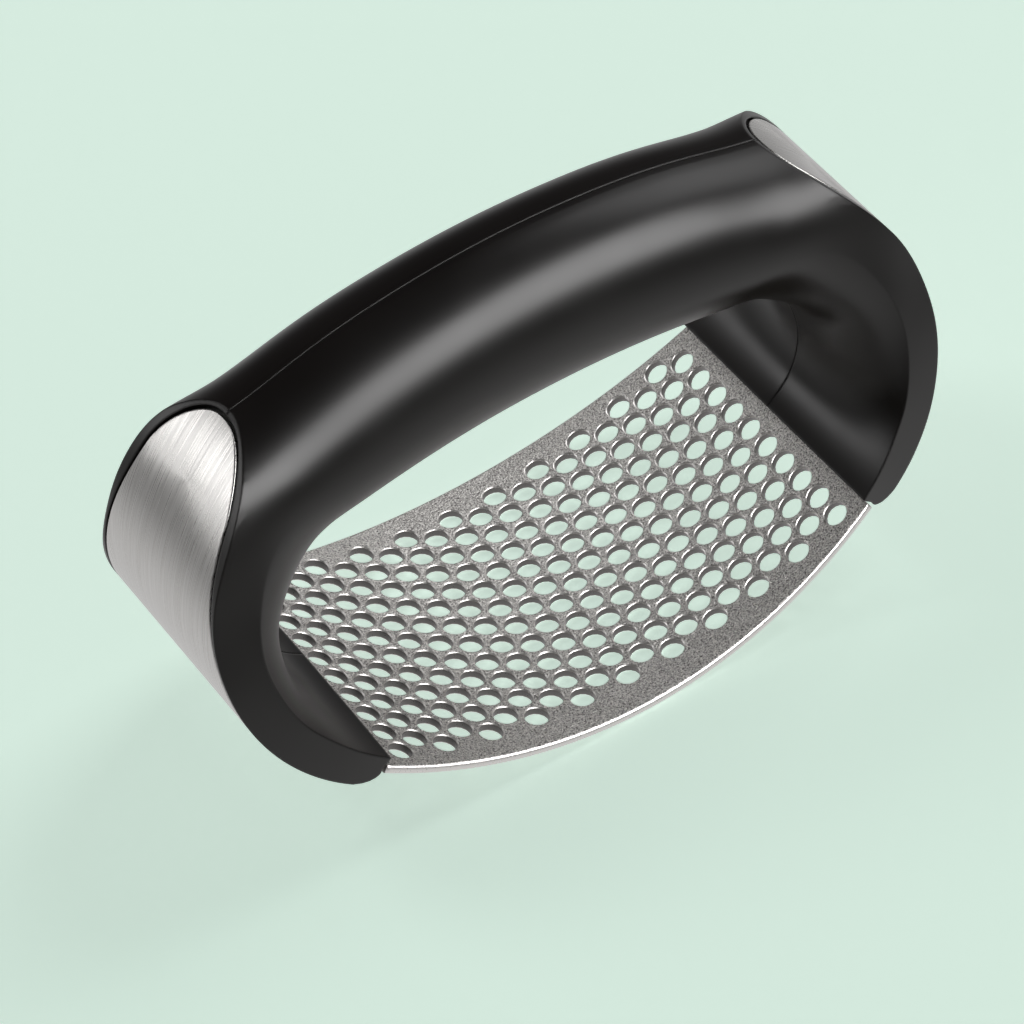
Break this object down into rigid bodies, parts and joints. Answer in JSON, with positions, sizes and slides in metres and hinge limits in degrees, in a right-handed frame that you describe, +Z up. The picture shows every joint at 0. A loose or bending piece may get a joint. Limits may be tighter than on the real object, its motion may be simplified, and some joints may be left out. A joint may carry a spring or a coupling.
{
  "type": "garlic press",
  "caption": "Rocking garlic press: a curved perforated steel plate under an arched two-shell plastic handle with steel end bands.",
  "frame": {"origin": "on the table under the middle of the rocking plate, where the plate touches it", "axes": "+X along the press towards its right end, +Y across it towards the rear shell, +Z up through the grip"},
  "size_m": [0.1234, 0.0574, 0.0749],
  "materials": {
    "satin_steel": "stainless sheet, pressed, fine pebbled satin finish",
    "brushed_steel": "stainless sheet, brushed along its length",
    "black_plastic": "injection moulded, fine satin",
    "bonding_film": "grey acrylic foam film",
    "zinc_steel": "zinc plated steel"
  },
  "bodies": {
    "root": {"press_plate": "satin_steel", "front_shell": "black_plastic", "rear_shell": "black_plastic", "right_end_band": "brushed_steel", "right_bonding_pad": "bonding_film", "right_tie_plate": "zinc_steel", "right_front_tie_screw": "zinc_steel", "right_rear_tie_screw": "zinc_steel", "left_end_band": "brushed_steel", "left_bonding_pad": "bonding_film", "left_tie_plate": "zinc_steel", "left_front_tie_screw": "zinc_steel", "left_rear_tie_screw": "zinc_steel", "grip_dowel_1": "black_plastic", "grip_dowel_2": "black_plastic", "grip_dowel_3": "black_plastic", "left_wall_dowel": "black_plastic", "right_wall_dowel": "black_plastic"}
  },
  "joints": []
}
